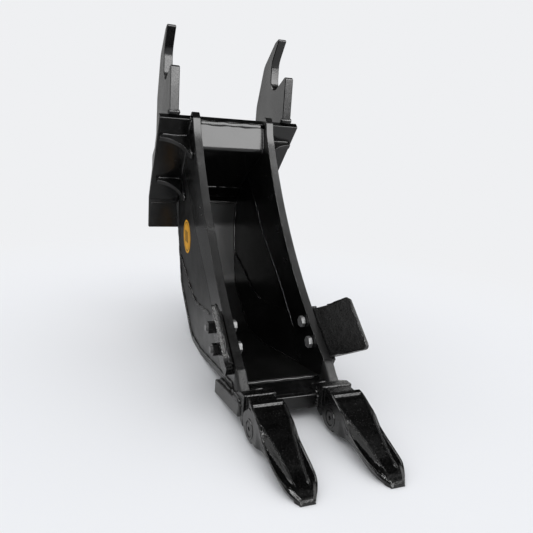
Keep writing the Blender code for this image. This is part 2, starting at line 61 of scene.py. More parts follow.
# The bucket's own lines, in metres, as in the CAD source. Pairs are (y, z) in its
# side view: the mouth faces -Y, and the coupler side is up and towards +Y.
MOUTH_HALF = 0.150
MOUTH_LOW = (-0.306, 0.102)
MOUTH_BACK = (0.749, -0.661)  # square to the mouth, into the bucket
TAPER = 0.0465  # how much each side closes in, per metre in that direction
SIDE_BAR_T = 0.0275
SIDE_PLATE_T = 0.016
LOW_PLATE_T = 0.020
PLATE_T = 0.023
PLATE_FRONT = (0.352, 0.826)
PLATE_CREASE = (0.620, 0.5046)
FLANGE_HALF = 0.248
FLANGE_LOW = 0.383
FLANGE_FRONT = PLATE_CREASE[0] - PLATE_T
EAR_IN = 0.1958
EAR_OUT = 0.2282
EAR_FRONT = 0.331
EAR_TOE = 0.020
SHELL_T = 0.016
HEEL_T = 0.022
SHELL_FRONT = -0.270
RISE = 0.147
LIP_ZERO = 0.146  # where the lip's top, carried on backwards, meets the ground
LIP_FRONT = -0.372
LIP_BACK = -0.148
TOOTH_X = 0.115
ADAPTER_HALF = 0.0455
TIP_HALF = 0.04725
TIP_END = -0.7135
LOCK_AT = (-0.453, 0.045)
DECAL_AT = (0.410, 0.378)
DECAL_R = 0.064
GUSSET_T = 0.018
# Each gusset: place along the base plate, depth under it, reach from the middle.
GUSSETS = ((0.074, 0.094, 0.252), (0.288, 0.098, 0.236))
# The line where the side bars' thickness steps down to the side plates'.
STEP = (
    (0.476, 0.641),
    (0.355, 0.530),
    (0.249, 0.425),
    (0.067, 0.288),
    (-0.076, 0.166),
)
SIDES = ((-1, "left"), (1, "right"))

# How far a bead's line stands off the surfaces that it joins.
GAP = 0.001
UNDER = -PLATE_T - GAP  # the same under the base plate, from its top
# A bead's usual ripple length and wander, when nothing else is said.
PITCH = 0.0065
WANDER = 0.0007

# How the CAD meshes are smoothed.
MERGE = 0.00003
FLAT_ANGLE = math.radians(0.5)
CURVE_ANGLE = math.radians(27)
BEVEL_ANGLE = math.radians(32)


def half(y, z):
    """The bucket's outer half width at a point of its side view."""
    back = (y - MOUTH_LOW[0]) * MOUTH_BACK[0] + (z - MOUTH_LOW[1]) * MOUTH_BACK[1]
    return MOUTH_HALF - TAPER * back


PLATE_LONG = math.hypot(
    PLATE_CREASE[0] - PLATE_FRONT[0], PLATE_CREASE[1] - PLATE_FRONT[1]
)
DOWN = (
    (PLATE_CREASE[0] - PLATE_FRONT[0]) / PLATE_LONG,
    (PLATE_CREASE[1] - PLATE_FRONT[1]) / PLATE_LONG,
)


def on_plate(along, out):
    """A side-view point: along the base plate from its front, out from its top."""
    return (
        PLATE_FRONT[0] + DOWN[0] * along - DOWN[1] * out,
        PLATE_FRONT[1] + DOWN[1] * along + DOWN[0] * out,
    )


def lip_top(y):
    """The height of the lip's sloping top."""
    return RISE * (LIP_ZERO - y)


def rounded(corners, step=math.radians(6)):
    """An open path whose inner corners are (a, b, radius)."""
    out = [Vector(corners[0][:2])]
    for i in range(1, len(corners) - 1):
        here = Vector(corners[i][:2])
        radius = corners[i][2]
        one = (Vector(corners[i - 1][:2]) - here).normalized()
        two = (Vector(corners[i + 1][:2]) - here).normalized()
        inside = one.angle(two)
        middle = (one + two).normalized()
        centre = here + middle * radius / math.sin(inside / 2)
        start = here + one * radius / math.tan(inside / 2) - centre
        turn = math.pi - inside
        sign = -1 if one.x * two.y - one.y * two.x > 0 else 1
        count = max(1, math.ceil(turn / step))
        for k in range(count + 1):
            a = sign * turn * k / count
            out.append(
                centre
                + Vector(
                    (
                        start.x * math.cos(a) - start.y * math.sin(a),
                        start.x * math.sin(a) + start.y * math.cos(a),
                    )
                )
            )
    out.append(Vector(corners[-1][:2]))
    return [tuple(p) for p in out]


# The outside of the two shells, from under the base plate round to the lip
SHELL = rounded(
    (
        (FLANGE_FRONT, 0.494),
        (FLANGE_FRONT, 0.395, 0.12),
        (0.5285, 0.156, 0.12),
        (0.315, 0.0, 0.16),
        (LIP_ZERO, 0.0, 0.25),
        (SHELL_FRONT, lip_top(SHELL_FRONT)),
    )
)
# The seam between the upper and lower side plates
SEAM = rounded(
    ((0.552, 0.285), (0.434, 0.238, 0.10), (0.262, 0.162, 0.30), (0.020, 0.196))
)


def inset(path, by):
    """A side-view path moved square to itself."""
    out = []
    for i, point in enumerate(path):
        a = Vector(path[max(i - 1, 0)])
        b = Vector(path[min(i + 1, len(path) - 1)])
        along = (b - a).normalized()
        out.append((point[0] - along.y * by, point[1] + along.x * by))
    return out


# Camera, at the photograph's viewing angle

CAM_AT = Vector((-0.616, -1.625, 0.7627))
CAM_YAW = 0.37204
CAM_PITCH = math.radians(14.1)
CAM_ROLL = -0.02402
CAM_LENS = 36.95


def make_camera():
    """The camera, turned by a yaw, pitch and roll of its own axes."""
    sin, cos = math.sin(CAM_YAW), math.cos(CAM_YAW)
    sp, cp = math.sin(CAM_PITCH), math.cos(CAM_PITCH)
    forward = Vector((sin, cos * cp, -cos * sp))
    up = Vector((0, sp, cp))
    right = Vector((cos, -sin * cp, sin * sp))
    sr, cr = math.sin(CAM_ROLL), math.cos(CAM_ROLL)
    right, up = right * cr + up * sr, up * cr - right * sr
    data = bpy.data.cameras.new("camera")
    data.lens = CAM_LENS
    data.sensor_width = 36
    data.clip_start = 0.05
    data.clip_end = 60
    camera = bpy.data.objects.new("camera", data)
    scene.collection.objects.link(camera)
    turn = Matrix((right, up, -forward)).transposed()
    camera.matrix_world = Matrix.Translation(CAM_AT) @ turn.to_4x4()
    scene.camera = camera


# Materials


class Nodes:
    """A short way to build a node tree."""

    def __init__(self, name):
        self.material = bpy.data.materials.new(name)
        self.material.use_nodes = True
        self.tree = self.material.node_tree
        self.shader = self.tree.nodes["Principled BSDF"]
        self.coords = self.tree.nodes.new("ShaderNodeTexCoord").outputs["Object"]

    def link(self, a, b):
        self.tree.links.new(a, b)

    def noise(self, scale, detail=3.0, rough=0.55, distort=0.0, squash=None):
        node = self.tree.nodes.new("ShaderNodeTexNoise")
        node.inputs["Scale"].default_value = scale
        node.inputs["Detail"].default_value = detail
        node.inputs["Roughness"].default_value = rough
        node.inputs["Distortion"].default_value = distort
        source = self.coords
        if squash:
            mapping = self.tree.nodes.new("ShaderNodeMapping")
            mapping.inputs["Scale"].default_value = squash
            self.link(self.coords, mapping.inputs["Vector"])
            source = mapping.outputs["Vector"]
        self.link(source, node.inputs["Vector"])
        return node.outputs["Fac"]

    def cells(self, scale):
        """The distance to the nearest of a set of scattered points."""
        node = self.tree.nodes.new("ShaderNodeTexVoronoi")
        node.inputs["Scale"].default_value = scale
        self.link(self.coords, node.inputs["Vector"])
        return node.outputs["Distance"]

    def ramp(self, value, stops):
        node = self.tree.nodes.new("ShaderNodeValToRGB")
        ramp = node.color_ramp
        ramp.elements[0].position = stops[0][0]
        ramp.elements[1].position = stops[-1][0]
        for place, _ in stops[1:-1]:
            ramp.elements.new(place)
        for element, (_, colour) in zip(ramp.elements, stops):
            if isinstance(colour, (int, float)):
                colour = (colour, colour, colour)
            element.color = (*colour, 1)
        self.link(value, node.inputs["Fac"])
        return node.outputs["Color"]

    def math(self, operation, a, b=None):
        node = self.tree.nodes.new("ShaderNodeMath")
        node.operation = operation
        for socket, value in zip(node.inputs, (a, b)):
            if value is None:
                continue
            if isinstance(value, (int, float)):
                socket.default_value = value
            else:
                self.link(value, socket)
        return node.outputs[0]

    def mix(self, factor, a, b):
        node = self.tree.nodes.new("ShaderNodeMix")
        node.data_type = "RGBA"
        self.link(factor, node.inputs[0])
        for socket, value in ((node.inputs[6], a), (node.inputs[7], b)):
            if isinstance(value, tuple):
                socket.default_value = (*value, 1)
            else:
                self.link(value, socket)
        return node.outputs[2]

    def bump(self, height, distance, strength=1.0, under=None):
        node = self.tree.nodes.new("ShaderNodeBump")
        node.inputs["Strength"].default_value = strength
        node.inputs["Distance"].default_value = distance
        self.link(height, node.inputs["Height"])
        if under is not None:
            self.link(under, node.inputs["Normal"])
        return node.outputs["Normal"]

    def finish(self, colour, rough, normal, metallic=0.0):
        for value, name in (
            (colour, "Base Color"),
            (rough, "Roughness"),
            (normal, "Normal"),
        ):
            if isinstance(value, (int, float)):
                self.shader.inputs[name].default_value = value
            else:
                self.link(value, self.shader.inputs[name])
        self.shader.inputs["Metallic"].default_value = metallic
        return self.material


def grey(value):
    """A colour of equal parts."""
    return (value, value, value)


def paint(name, dark, light, rough, peel_mm):
    """Black paint: cloudy gloss, orange peel, faint rubs and settled dust."""
    n = Nodes(name)
    clouds = n.noise(7.0, 4.0, 0.6)
    peel = n.noise(160.0, 2.0, 0.5)
    rubs = n.noise(26.0, 5.0, 0.65, 0.6, (1.0, 0.35, 1.6))
    worn = n.ramp(rubs, ((0.60, 0.0), (0.74, 1.0)))
    cloudy = n.ramp(clouds, ((0.35, 0.0), (0.7, 1.0)))
    colour = n.mix(cloudy, grey(dark), grey(light))
    scuffed = grey(light * 1.7 + 0.0015)
    colour = n.mix(n.math("MULTIPLY", worn, 0.5), colour, scuffed)
    roughness = n.ramp(clouds, ((0.3, rough - 0.05), (0.72, rough + 0.09)))
    roughness = n.math("ADD", roughness, n.math("MULTIPLY", worn, 0.08))
    low = n.bump(n.noise(22.0, 3.0, 0.5), 0.0006, 0.5)
    normal = n.bump(peel, peel_mm * 0.001, 0.6, low)
    return n.finish(colour, roughness, normal)


def cast(name, dark, light, rough, depth):
    """Painted sand casting: pitted and grainy, with glossy high spots."""
    n = Nodes(name)
    grain = n.noise(240.0, 5.0, 0.65)
    pits = n.ramp(n.cells(150.0), ((0.05, 0.0), (0.5, 1.0)))
    lumps = n.noise(38.0, 4.0, 0.6)
    lumpy = n.ramp(lumps, ((0.35, 0.0), (0.7, 1.0)))
    colour = n.mix(lumpy, grey(dark), grey(light))
    roughness = n.ramp(grain, ((0.35, rough - 0.08), (0.7, rough + 0.12)))
    low = n.bump(lumps, depth * 0.002, 0.8)
    mid = n.bump(pits, depth * 0.0006, 0.6, low)
    normal = n.bump(grain, depth * 0.0010, 0.9, mid)
    return n.finish(colour, roughness, normal)


def weld_paint(name):
    """Glossy paint over weld metal, with a coarse grain."""
    n = Nodes(name)
    grain = n.noise(120.0, 4.0, 0.6)
    light = n.ramp(grain, ((0.4, 0.0), (0.7, 1.0)))
    colour = n.mix(light, grey(0.002), grey(0.008))
    roughness = n.ramp(grain, ((0.3, 0.08), (0.7, 0.22)))
    normal = n.bump(grain, 0.0008, 0.6)
    return n.finish(colour, roughness, normal)


def fastener(name, tone, rough, metallic):
    """Plated or blackened steel, with grime that darkens and dulls it."""
    n = Nodes(name)
    grime = n.noise(90.0, 4.0, 0.6)
    dirty = n.ramp(grime, ((0.4, 0.0), (0.68, 1.0)))
    colour = n.mix(dirty, grey(tone), grey(tone * 0.45))
    roughness = n.ramp(grime, ((0.35, rough), (0.7, rough + 0.15)))
    normal = n.bump(n.noise(300.0, 2.0, 0.5), 0.0003, 0.5)
    return n.finish(colour, roughness, normal, metallic)


# The decal's mark, as shares of its radius
RING = (0.80, 0.87)
BARS_AT = (-0.30, 0.04, 0.36)
BAR_HALF = 0.09
BAR_TALL = 0.34


def decal_print(name):
    """A plain orange disc with a dark ring and a bar mark of no maker."""
    n = Nodes(name)
    split = n.tree.nodes.new("ShaderNodeSeparateXYZ")
    n.link(n.coords, split.inputs[0])
    y = n.math("SUBTRACT", split.outputs[1], DECAL_AT[0])
    z = n.math("SUBTRACT", split.outputs[2], DECAL_AT[1])
    squared = n.math("ADD", n.math("MULTIPLY", y, y), n.math("MULTIPLY", z, z))
    radius = n.math("SQRT", squared)
    ring = n.math(
        "MULTIPLY",
        n.math("GREATER_THAN", radius, DECAL_R * RING[0]),
        n.math("LESS_THAN", radius, DECAL_R * RING[1]),
    )
    tall = n.math("LESS_THAN", n.math("ABSOLUTE", z), DECAL_R * BAR_TALL)
    bars = None
    for place in BARS_AT:
        away = n.math("ABSOLUTE", n.math("SUBTRACT", y, DECAL_R * place))
        inside = n.math("LESS_THAN", away, DECAL_R * BAR_HALF)
        bar = n.math("MULTIPLY", inside, tall)
        bars = bar if bars is None else n.math("MAXIMUM", bars, bar)
    mark = n.math("MAXIMUM", n.math("MULTIPLY", ring, 0.75), bars)
    grime = n.noise(60.0, 5.0, 0.65)
    faded = n.ramp(grime, ((0.35, 0.0), (0.75, 1.0)))
    base = n.mix(faded, (0.74, 0.36, 0.018), (0.56, 0.26, 0.012))
    colour = n.mix(mark, base, (0.02, 0.016, 0.012))
    normal = n.bump(grime, 0.0002, 0.4)
    n.shader.inputs["Specular IOR Level"].default_value = 0.15
    return n.finish(colour, 0.55, normal)


# Key, name, darkest and lightest grey, roughness, orange peel in millimetres
PAINTS = (
    ("plate", "plate_paint", 0.0016, 0.0042, 0.22, 0.25),
    ("inner", "inner_plate_paint", 0.0016, 0.0042, 0.33, 0.25),
    ("bar", "bar_paint", 0.0022, 0.0055, 0.20, 0.22),
    ("ear", "ear_paint", 0.0035, 0.0075, 0.20, 0.20),
)
# Key, name, darkest and lightest grey, roughness, relief in millimetres
CASTINGS = (
    ("cast", "cast_paint", 0.0012, 0.0045, 0.24, 1.0),
    ("tip", "tip_paint", 0.0010, 0.0035, 0.20, 0.45),
    ("rim", "cutter_rim_paint", 0.0030, 0.0100, 0.16, 0.6),
    ("foot", "weld_foot_paint", 0.0008, 0.0030, 0.55, 1.3),
    ("cutter", "cutter_paint", 0.0018, 0.0060, 0.26, 0.8),
)
MATS = {}


def make_materials():
    """Fills MATS, by key."""
    for key, *values in PAINTS:
        MATS[key] = paint(*values)
    for key, *values in CASTINGS:
        MATS[key] = cast(*values)
    MATS["weld"] = weld_paint("weld_paint")
    MATS["steel"] = fastener("dark_fastener", 0.006, 0.24, 0.0)
    MATS["head"] = fastener("grey_bolt_head", 0.17, 0.36, 0.1)
    MATS["decal"] = decal_print("orange_decal")


def smooth_group():
    """Merges a CAD mesh's corners and smooths it across its shallow edges."""
    group = bpy.data.node_groups.new("smooth_by_angle", "GeometryNodeTree")
    for way in ("INPUT", "OUTPUT"):
        group.interface.new_socket(
            "Geometry", in_out=way, socket_type="NodeSocketGeometry"
        )
    nodes, links = group.nodes, group.links
    start = nodes.new("NodeGroupInput")
    merge = nodes.new("GeometryNodeMergeByDistance")
    merge.inputs["Distance"].default_value = MERGE
    faces = nodes.new("GeometryNodeSetShadeSmooth")
    faces.domain = "FACE"
    faces.inputs["Shade Smooth"].default_value = True
    edges = nodes.new("GeometryNodeSetShadeSmooth")
    edges.domain = "EDGE"
    edges.inputs["Shade Smooth"].default_value = False
    angle = nodes.new("GeometryNodeInputMeshEdgeAngle")
    compare = nodes.new("FunctionNodeCompare")
    compare.data_type = "FLOAT"
    compare.operation = "GREATER_THAN"
    compare.inputs[1].default_value = CURVE_ANGLE
    links.new(angle.outputs["Unsigned Angle"], compare.inputs[0])
    links.new(compare.outputs[0], edges.inputs["Selection"])
    end = nodes.new("NodeGroupOutput")
    links.new(start.outputs[0], merge.inputs["Geometry"])
    links.new(merge.outputs["Geometry"], faces.inputs["Geometry"])
    links.new(faces.outputs["Geometry"], edges.inputs["Geometry"])
    links.new(edges.outputs["Geometry"], end.inputs[0])
    return group


SMOOTH = smooth_group()


def soften(obj, edge=0.0):
    """Rounds an object's sharp edges by a small radius, and smooths its curves."""
    if edge:
        weld = obj.modifiers.new("weld", "WELD")
        weld.merge_threshold = MERGE
        flat = obj.modifiers.new("flat", "DECIMATE")
        flat.decimate_type = "DISSOLVE"
        flat.angle_limit = FLAT_ANGLE
        bevel = obj.modifiers.new("bevel", "BEVEL")
        bevel.width = edge
        bevel.segments = 2
        bevel.limit_method = "ANGLE"
        bevel.angle_limit = BEVEL_ANGLE
        bevel.harden_normals = False
        bevel.use_clamp_overlap = True
    modifier = obj.modifiers.new("smooth", "NODES")
    modifier.node_group = SMOOTH
    if edge:
        weighted = obj.modifiers.new("weighted", "WEIGHTED_NORMAL")
        weighted.keep_sharp = True
        weighted.weight = 90


# The CAD nodes, {} being left or right: material, and radius of the edges
FINISHES = (
    ("side_bar_{}", "bar", 0.0012),
    ("side_plate_{}", "inner", 0.0),
    ("lower_side_plate_{}", "inner", 0.0),
    ("hook_ear_{}", "ear", 0.0015),
    ("gusset_upper_{}", "plate", 0.0010),
    ("gusset_lower_{}", "plate", 0.0010),
    ("adapter_{}", "cast", 0.0020),
    ("tip_{}", "tip", 0.0),
    ("tip_lock_{}", "steel", 0.0006),
    ("side_cutter_{}", "cutter", 0.0035),
    ("round_decal_{}", "decal", 0.0),
    ("cutter_bolt_{}_1", "head", 0.0005),
    ("cutter_bolt_{}_2", "head", 0.0005),
    ("cutter_washer_{}_1", "steel", 0.0005),
    ("cutter_washer_{}_2", "steel", 0.0005),
    ("cutter_nut_{}_1", "steel", 0.0008),
    ("cutter_nut_{}_2", "steel", 0.0008),
)
MIDDLE_FINISHES = (
    ("lip_plate", "plate", 0.0012),
    ("base_plate", "plate", 0.0012),
    ("wedge_bar", "plate", 0.0012),
    ("back_shell", "inner", 0.0),
    ("bottom_shell", "inner", 0.0),
    ("torque_tube", "ear", 0.0),
)


def dress(name, material, edge):
    """Gives a CAD node its material and soft edges."""
    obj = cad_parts[name]
    for slot in obj.material_slots:
        slot.material = MATS[material]
    soften(obj, edge)


def dress_frame():
    """Dresses every CAD node."""
    for name, material, edge in FINISHES:
        for _, word in SIDES:
            dress(name.format(word), material, edge)
    for row in MIDDLE_FINISHES:
        dress(*row)


# Pieces


def new_object(name, bm, material):
    """An object made of a bmesh, which is freed."""
    mesh = bpy.data.meshes.new(name)
    bm.to_mesh(mesh)
    bm.free()
    mesh.materials.append(material)
    obj = bpy.data.objects.new(name, mesh)
    scene.collection.objects.link(obj)
    return obj


def add_piece(name, bm, material):
    """A smooth-shaded piece that rides on the bucket."""
    bmesh.ops.recalc_face_normals(bm, faces=bm.faces)
    obj = new_object(name, bm, MATS[material])
    for polygon in obj.data.polygons:
        polygon.use_smooth = True
    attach(obj, BODY)
    return obj


def loft(bm, rings):
    """A closed skin over a row of rings of equally many points."""
    loops = [[bm.verts.new(p) for p in ring] for ring in rings]
    for a, b in zip(loops, loops[1:]):
        for k in range(len(a)):
            j = (k + 1) % len(a)
            bm.faces.new((a[k], a[j], b[j], b[k]))
    bm.faces.new(loops[0])
    bm.faces.new(loops[-1])


def resample(points, gap):
    """Points at an even gap along a line, with its own last point kept."""
    points = [Vector(p) for p in points]
    out = [points[0]]
    carry = gap
    for a, b in zip(points, points[1:]):
        long = (b - a).length
        at = carry
        while at < long:
            out.append(a.lerp(b, at / long))
            at += gap
        carry = at - long
    if (out[-1] - points[-1]).length > gap * 0.3:
        out.append(points[-1])
    return out


BEAD_AXIS = Vector((0.31, 0.52, 0.80))  # along no edge of the bucket
RIPPLE = 0.22  # how deep a bead's ripples are, as a share of its radius
SWELLS = ((0.10, 61), (0.07, 143))  # how far its width swells, radians per metre
WANDERS = (97, 71)  # radians per metre, across it both ways
FLATTEN = 1.3


def bead(bm, points, radius, rng, pitch=PITCH, wander=WANDER, sides=9, flat=None):
    """A rippled weld bead along a line of points, wider by 2.3 times along flat."""
    path = resample(points, pitch / 3)
    count = len(path)
    if count < 3:
        return
    rings = []
    phase = rng.random() * math.tau
    drift = [rng.random() * math.tau for _ in range(4)]
    for i, point in enumerate(path):
        along = (path[min(i + 1, count - 1)] - path[max(i - 1, 0)]).normalized()
        one = (BEAD_AXIS - along * BEAD_AXIS.dot(along)).normalized()
        two = along.cross(one)
        s = i * pitch / 3
        ripple = abs(math.sin(math.pi * s / pitch + phase))
        ends = min(1.0, math.sqrt(min(i, count - 1 - i) / 3.0) + 0.15)
        swell = 1
        for (share, waves), start in zip(SWELLS, drift):
            swell += share * math.sin(s * waves + start)
        size = radius * (1 - RIPPLE + RIPPLE * ripple) * swell * ends
        centre = (
            point
            + one * wander * math.sin(s * WANDERS[0] + drift[2])
            + two * wander * math.sin(s * WANDERS[1] + drift[3])
        )
        ring = []
        for k in range(sides):
            turn = math.tau * k / sides
            out = one * size * math.cos(turn) + two * size * math.sin(turn)
            if flat is not None:
                out += flat * out.dot(flat) * FLATTEN
            ring.append(centre + out)
        rings.append(ring)
    loft(bm, rings)


def spatter(bm, low, high, count, rng):
    """Small squashed drops of weld metal on the lip, inside a floor area."""
    for _ in range(count):
        x, y = rng.uniform(low[0], high[0]), rng.uniform(low[1], high[1])
        size = rng.uniform(0.0010, 0.0030)
        place = Matrix.Translation((x, y, lip_top(y) + size * 0.2))
        turn = Matrix.Rotation(rng.uniform(0, math.pi), 4, "Z")
        squash = Matrix.Diagonal((size * rng.uniform(0.9, 1.8), size, size * 0.6, 1))
        made = bmesh.ops.create_icosphere(
            bm, subdivisions=2, radius=1, matrix=place @ turn @ squash
        )
        for vert in made["verts"]:
            vert.co += Vector([rng.uniform(-1, 1) * size * 0.08 for _ in range(3)])


# The ramp's side view: distance behind the shell's front end, height over the lip
RAMP_PROFILE = (
    (0.006, 0.0166),
    (-0.003, 0.0164),
    (-0.022, 0.0118),
    (-0.048, 0.0050),
    (-0.074, 0.0012),
    (-0.084, -0.003),
)
RAMP_COLUMNS = 60


def ramp(bm, wide, rng):
    """Weld metal laid as a slope from the shell's front end down to the lip."""
    buried = (SHELL_FRONT + 0.006, lip_top(SHELL_FRONT) - 0.004)
    rings = []
    for k in range(RAMP_COLUMNS + 1):
        x = -wide + 2 * wide * k / RAMP_COLUMNS
        ring = []
        for i, (dy, dz) in enumerate(RAMP_PROFILE):
            y = SHELL_FRONT + dy * (1 + 0.03 * math.sin(x * 60 + i))
            ring.append((x, y, lip_top(y) + dz + rng.uniform(-1, 1) * 0.0002))
        ring.append((x, *buried))
        rings.append(ring)
    loft(bm, rings)


def side_path(side, path, inward=0.0):
    """Side-view points put at the bucket's outer width, or inward of it."""
    return [(side * (half(y, z) - inward), y, z) for y, z in path]


def across(y, z, start, end, side=1):
    """A line across the bucket at one side-view point."""
    return [(side * start, y, z), (side * end, y, z)]


def on_lip(places, over):
    """Side-view points over the lip's top."""
    return [(y, lip_top(y) + over) for y in places]


def ear_x(y, outer):
    """How far an ear's outer or inner face is from the middle."""
    return (EAR_OUT if outer else EAR_IN) - EAR_TOE * (y - EAR_FRONT)


# A foot's side view: its sloping front, then its underside inside the lip
FOOT_FRONT = (
    (-0.2880, 0.1400),
    (-0.2985, 0.1335, 0.02),
    (-0.3280, 0.1030, 0.08),
    (-0.3560, 0.0780, 0.01),
    (-0.3640, 0.0660),
)
FOOT_UNDER = [(-0.300, 0.0640), (-0.286, 0.0700)]
FOOT_COLUMNS = 12
FOOT_PROUD = 0.0012  # how far it stands out past the bar's sides
FOOT_ROUND = 0.0030  # how far its front draws back at the sides


def make_feet():
    """The weld metal that runs each side bar's front edge out onto the lip."""
    rng = random.Random(5)
    outline = rounded(FOOT_FRONT) + FOOT_UNDER
    bm = bmesh.new()
    for side, _ in SIDES:
        rings = []
        for k in range(FOOT_COLUMNS + 1):
            share = k / FOOT_COLUMNS
            inward = -FOOT_PROUD + (SIDE_BAR_T + 2 * FOOT_PROUD) * share
            shrink = FOOT_ROUND * (1 - min(1.0, 6 * min(share, 1 - share)))
            ring = []
            for y, z in outline:
                y = y + shrink + rng.uniform(-1, 1) * 0.0003
                z = z - 0.6 * shrink + rng.uniform(-1, 1) * 0.0002
                ring.append((side * (half(y, z) - inward), y, z))
            rings.append(ring)
        loft(bm, rings)
    add_piece("bar_feet", bm, "foot")


# A cutter blade: the upper end of its root, the way along the root, and the way
# out to its far edge, all for the right-hand side
BLADE_ROOT = Vector((0, -0.1330, 0.2490))
BLADE_ALONG = Vector((0, -0.1445, -0.1115)).normalized()
BLADE_REACH = Vector((0.054, -0.1130, 0.0700))
BLADE_DEEP = BLADE_REACH.length
# The rim on it: distance along, distance out, radius of the corner
BLADE_RIM = (
    (0.1755, 0.03),
    (0.1785, 0.50 * BLADE_DEEP, 0.05),
    (0.1800, 0.985 * BLADE_DEEP, 0.017),
    (0.0040, 1.012 * BLADE_DEEP, 0.010),
    (0.0100, 0.50 * BLADE_DEEP, 0.05),
    (0.0050, 0.06),
)


def make_cutter_rims():
    """The raised, worn rim round each cutter blade's inner face."""
    rng = random.Random(3)
    out = BLADE_REACH.normalized()
    bm = bmesh.new()
    for side, _ in SIDES:
        line = []
        for s, t in rounded(BLADE_RIM):
            point = BLADE_ROOT + BLADE_ALONG * s + out * t
            line.append((side * (point.x + MOUTH_HALF + 0.0012), point.y, point.z))
        bead(bm, line, 0.0030, rng, pitch=0.016, wander=0.0005)
    add_piece("cutter_rims", bm, "rim")


def layer(bm, rng):
    """A function that lays a bead of a given radius into one mesh."""

    def lay(points, radius, **more):
        bead(bm, points, radius, rng, **more)

    return lay


# The runs across each ear's front foot: place, overhang, radius, ripple
EAR_RUNS = (
    (0.3370, 0.8325, 0.006, 0.0100, 0.009),
    (0.349, 0.8285, 0.002, 0.0060, PITCH),
)
# The torque tube's outside where it meets a side bar
TUBE = ((0.3312, 0.7985), (0.3100, 0.7105, 0.024), (0.5275, 0.5575))
TUBE_TOP = (0.3345, 0.8035)
TUBE_TOP_OUT = Vector((0, 0.235, 0.972))
TUBE_FOOT = (0.5290, 0.5600)
WEDGE_END = (0.6385, 0.565, 0.665)  # the wedge bar's back, its underside and top


def weld_coupler(bm, rng):
    """The ears, gussets, torque tube and rear flange, joined to the base plate."""
    lay = layer(bm, rng)
    for side, _ in SIDES:
        # Ears on the base plate, with a heavy run across the front of each.
        for outer in (False, True):
            line = []
            for place in (0.004, 0.15, 0.30, PLATE_LONG - 0.004):
                y, z = on_plate(place, GAP)
                step = GAP if outer else -GAP
                line.append((side * (ear_x(y, outer) + step), y, z))
            lay(line, 0.0062)
        for y, z, over, radius, pitch in EAR_RUNS:
            line = across(y, z, EAR_IN - over, EAR_OUT + over, side)
            lay(line, radius, pitch=pitch)
        # Side bar and side plate under the base plate, outside.
        under = [on_plate(place, UNDER) for place in (0.004, 0.2, 0.34)]
        lay(side_path(side, under, -GAP), 0.0060)
        # Side bar to torque tube.
        lay(side_path(side, rounded(TUBE), SIDE_BAR_T + 0.0015), 0.0048)
        # Side bar's end against the plate's front edge.
        y, z = on_plate(-GAP, -0.004)
        x = side * (half(y, z) + GAP)
        lay([(x, y, z), (x, *on_plate(0.002, UNDER))], 0.0075)
        # Gussets, with heavier ends where they run out on the side bar.
        for place, leg, reach in GUSSETS:
            for face in (0.0, GUSSET_T):
                root = on_plate(place + face, UNDER)
                low = on_plate(place + face, -PLATE_T - leg + 0.002)
                lay(side_path(side, (root, low), -0.002), 0.0046)
                lay(across(*root, half(*root) + 0.004, reach - 0.006, side), 0.0046)
            foot = -PLATE_T - leg
            ends = [on_plate(place + over, foot - 0.002) for over in (-0.003, 0.021)]
            lay(side_path(side, ends, -0.004), 0.0075, pitch=0.009)
            runs = [on_plate(place - 0.004, foot + up) for up in (0.026, -0.014)]
            lay(side_path(side, runs, -0.005), 0.0066, pitch=0.0085)
        # The rear flange, against the side plate and shell.
        y = FLANGE_FRONT - GAP
        lay(side_path(side, ((y, 0.490), (y, 0.390)), -0.003), 0.0055)
        y, z = FLANGE_FRONT + 0.0005, on_plate(PLATE_LONG, -PLATE_T)[1] - 0.0075
        line = across(y, z, 0.138, FLANGE_HALF - 0.004, side)
        lay(line, 0.0030, pitch=0.006, wander=0.0003)
    # The torque tube's top, in a flat fillet against the plate's front edge.
    wide = half(0.33, 0.80) - SIDE_BAR_T - 0.004
    line = across(*TUBE_TOP, -wide, wide)
    lay(line, 0.0044, pitch=0.0085, wander=0.0006, sides=14, flat=TUBE_TOP_OUT)
    # Its lower end inside the bucket, in a heavy run and a lighter one.
    wide = half(0.53, 0.56) - SIDE_BAR_T - 0.002
    heavy = [(-wide, *TUBE_FOOT), (0.1 * wide, 0.529, 0.559)]
    lay(heavy, 0.0085, pitch=0.009)
    lay(across(*TUBE_FOOT, 0.15 * wide, wide), 0.0055, pitch=0.008)
    # Behind: the wedge bar's ends and the shell's top under the plate.
    y, low, high = WEDGE_END
    for side, _ in SIDES:
        x = side * (ear_x(y, False) - 0.002)
        lay([(x, y, low), (x, y, high)], 0.0050)
    lay(across(FLANGE_FRONT - 0.0175, 0.492, -0.132, 0.132), 0.0045)
    wide = half(FLANGE_FRONT, FLANGE_LOW) - 0.002
    lay(across(FLANGE_FRONT + GAP, FLANGE_LOW - GAP, -wide, wide), 0.0055)


